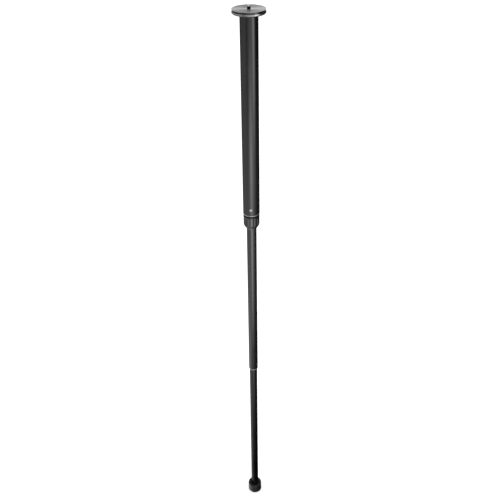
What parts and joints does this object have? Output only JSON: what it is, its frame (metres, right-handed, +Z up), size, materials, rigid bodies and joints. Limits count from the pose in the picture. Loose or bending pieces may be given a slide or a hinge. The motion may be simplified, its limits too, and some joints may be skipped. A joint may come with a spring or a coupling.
{
  "type": "telescopic monopod",
  "caption": "Telescopic tube monopod with a round knurled platform and short threaded stud, a fluted twist collar, a twist-lock lower tube and a cylindrical rubber foot.",
  "frame": {"origin": "centre of the rubber foot's flat base, on the mast's axis, with the mast fully extended", "axes": "+Z up the mast from the foot to the platform, -Y towards the rivet that faces the front"},
  "size_m": [0.06, 0.06, 1.2242],
  "materials": {
    "black_anodised": "satin black anodised aluminium",
    "turned_aluminium": "turned and knurled bare aluminium",
    "steel": "plain machined steel",
    "brass": "turned brass",
    "black_rubber": "matt moulded rubber",
    "black_nylon": "moulded nylon",
    "white_acetal": "moulded acetal"
  },
  "bodies": {
    "upper_section": {"platform_plate": "turned_aluminium", "camera_stud": "steel", "platform_washer": "black_nylon", "top_plug": "turned_aluminium", "stud_set_screw": "steel", "upper_tube": "black_anodised", "trim_ring": "turned_aluminium", "thread_bush": "black_nylon", "bush_rivet_front": "turned_aluminium", "bush_rivet_right": "turned_aluminium", "bush_rivet_left": "turned_aluminium", "dust_seal": "black_rubber"},
    "clamp": {"thrust_ring": "white_acetal", "clamp_wedge": "white_acetal"},
    "collar": {"twist_collar": "black_anodised"},
    "middle_section": {"middle_tube": "black_anodised", "middle_guide_bush": "black_nylon", "guide_retainer": "steel", "middle_end_bush": "white_acetal", "middle_end_ring": "turned_aluminium"},
    "expander": {"expander_sleeve": "black_nylon", "sleeve_washer": "steel"},
    "cone": {"expander_cone": "brass"},
    "lower_section": {"lower_tube": "black_anodised", "spindle_plug": "black_nylon", "spindle": "steel", "spindle_stop": "steel", "foot_plug": "black_nylon", "foot_screw": "steel", "foot_washer": "steel", "rubber_foot": "black_rubber"}
  },
  "joints": [
    {"name": "collar_feed", "type": "slide", "parent": "upper_section", "child": "clamp", "axis": [0, 0, -1], "range_m": [0, 0.0015]},
    {"name": "collar_twist", "type": "hinge", "parent": "clamp", "child": "collar", "pos_m": [0, 0, 0.802], "axis": [0, 0, -1], "range_deg": [0, 180]},
    {"name": "middle_slide", "type": "slide", "parent": "upper_section", "child": "middle_section", "axis": [0, 0, 1], "range_m": [0, 0.342]},
    {"name": "lower_slide", "type": "slide", "parent": "middle_section", "child": "expander", "axis": [0, 0, 1], "range_m": [0, 0.385]},
    {"name": "cone_feed", "type": "slide", "parent": "expander", "child": "cone", "axis": [0, 0, 1], "range_m": [0, 0.001]},
    {"name": "lower_twist", "type": "hinge", "parent": "expander", "child": "lower_section", "pos_m": [0, 0, 0.434], "axis": [0, 0, -1], "range_deg": [0, 180]}
  ],
  "couplings": [
    {"joint": "collar_twist", "follows": "collar_feed", "rad_per_m": 2094.4},
    {"joint": "lower_twist", "follows": "cone_feed", "rad_per_m": 3141.6}
  ]
}
